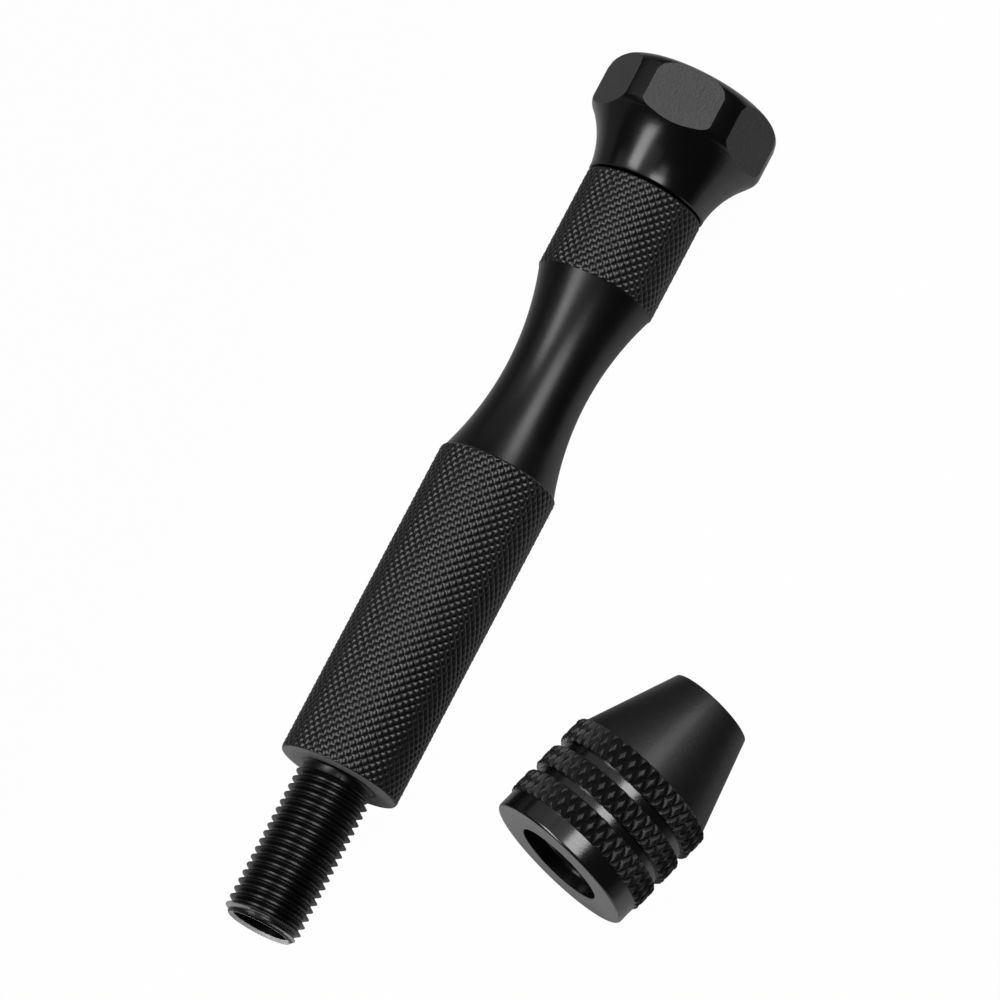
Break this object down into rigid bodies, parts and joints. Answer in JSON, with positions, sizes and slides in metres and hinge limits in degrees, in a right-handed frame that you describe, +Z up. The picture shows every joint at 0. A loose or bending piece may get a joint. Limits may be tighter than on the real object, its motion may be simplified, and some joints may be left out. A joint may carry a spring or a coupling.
{
  "type": "hand drill",
  "caption": "Pocket hand drill: knurled grip, waisted body and threaded spindle, a palm cap that spins on a ball bearing, and a keyless chuck lying unscrewed beside it.",
  "frame": {"origin": "on the floor, under the middle of the whole part's box", "axes": "+X along the handle towards the spindle, +Y towards the loose chuck, +Z up from the floor it lies on"},
  "size_m": [0.0818, 0.0376, 0.0147],
  "materials": {
    "handle_black": "black anodised, satin, fine diamond knurl on grip and collar",
    "cap_black": "black anodised, satin, milled flats a little paler",
    "chuck_black": "black oxide, satin, coarse diamond knurl on the bands",
    "jaw_steel": "hardened steel, dark, ground faces",
    "bearing_steel": "ground bearing steel",
    "ball_steel": "polished bearing balls",
    "cage_steel": "pressed steel strip",
    "screw_black": "black oxide screw",
    "spring_steel": "spring wire"
  },
  "bodies": {
    "handle": {"handle_body": "handle_black", "bearing_inner_ring": "bearing_steel", "spacer_washer": "bearing_steel", "cap_screw": "screw_black"},
    "cap": {"swivel_cap": "cap_black", "bearing_outer_ring": "bearing_steel", "bearing_shield_lower": "bearing_steel", "bearing_shield_upper": "bearing_steel"},
    "ball_cage": {"bearing_cage_lower": "cage_steel", "bearing_cage_upper": "cage_steel", "bearing_balls": "ball_steel"},
    "jaw_carrier": {"jaw_base": "jaw_steel"},
    "sleeve": {"chuck_sleeve": "chuck_black"},
    "jaw_1": {"jaw_1": "jaw_steel", "jaw_spring_1": "spring_steel"},
    "jaw_2": {"jaw_2": "jaw_steel", "jaw_spring_2": "spring_steel"},
    "jaw_3": {"jaw_3": "jaw_steel", "jaw_spring_3": "spring_steel"}
  },
  "joints": [
    {"name": "cap_spin", "type": "hinge", "parent": "handle", "child": "cap", "pos_m": [-0.03211, -0.01087, 0.0072], "axis": [-0.9995, 0, 0.0305], "continuous": true},
    {"name": "cage_spin", "type": "hinge", "parent": "handle", "child": "ball_cage", "pos_m": [-0.03211, -0.01087, 0.0072], "axis": [-0.9995, 0, 0.0305], "continuous": true},
    {"name": "chuck_spin", "type": "hinge", "parent": "handle", "child": "jaw_carrier", "pos_m": [0.01836, 0.01111, 0.00721], "axis": [0.9592, -0.2827, 0], "range_deg": [0, 2215.9]},
    {"name": "sleeve_travel", "type": "slide", "parent": "jaw_carrier", "child": "sleeve", "axis": [0.9592, -0.2827, 0], "range_m": [0, 0.00462]},
    {"name": "jaw_1_slide", "type": "slide", "parent": "jaw_carrier", "child": "jaw_1", "axis": [0, 0, -1], "range_m": [0, 0.0015], "deforming": ["jaw_spring_1"]},
    {"name": "jaw_2_slide", "type": "slide", "parent": "jaw_carrier", "child": "jaw_2", "axis": [-0.2448, -0.8307, 0.5], "range_m": [0, 0.0015], "deforming": ["jaw_spring_2"]},
    {"name": "jaw_3_slide", "type": "slide", "parent": "jaw_carrier", "child": "jaw_3", "axis": [0.2448, 0.8307, 0.5], "range_m": [0, 0.0015], "deforming": ["jaw_spring_3"]}
  ],
  "couplings": [
    {"joint": "cage_spin", "follows": "cap_spin", "ratio": 0.60588},
    {"joint": "sleeve_travel", "follows": "chuck_spin", "m_per_rad": 0.00011937},
    {"joint": "jaw_1_slide", "follows": "chuck_spin", "m_per_rad": 0.000038784},
    {"joint": "jaw_2_slide", "follows": "chuck_spin", "m_per_rad": 0.000038784},
    {"joint": "jaw_3_slide", "follows": "chuck_spin", "m_per_rad": 0.000038784}
  ]
}
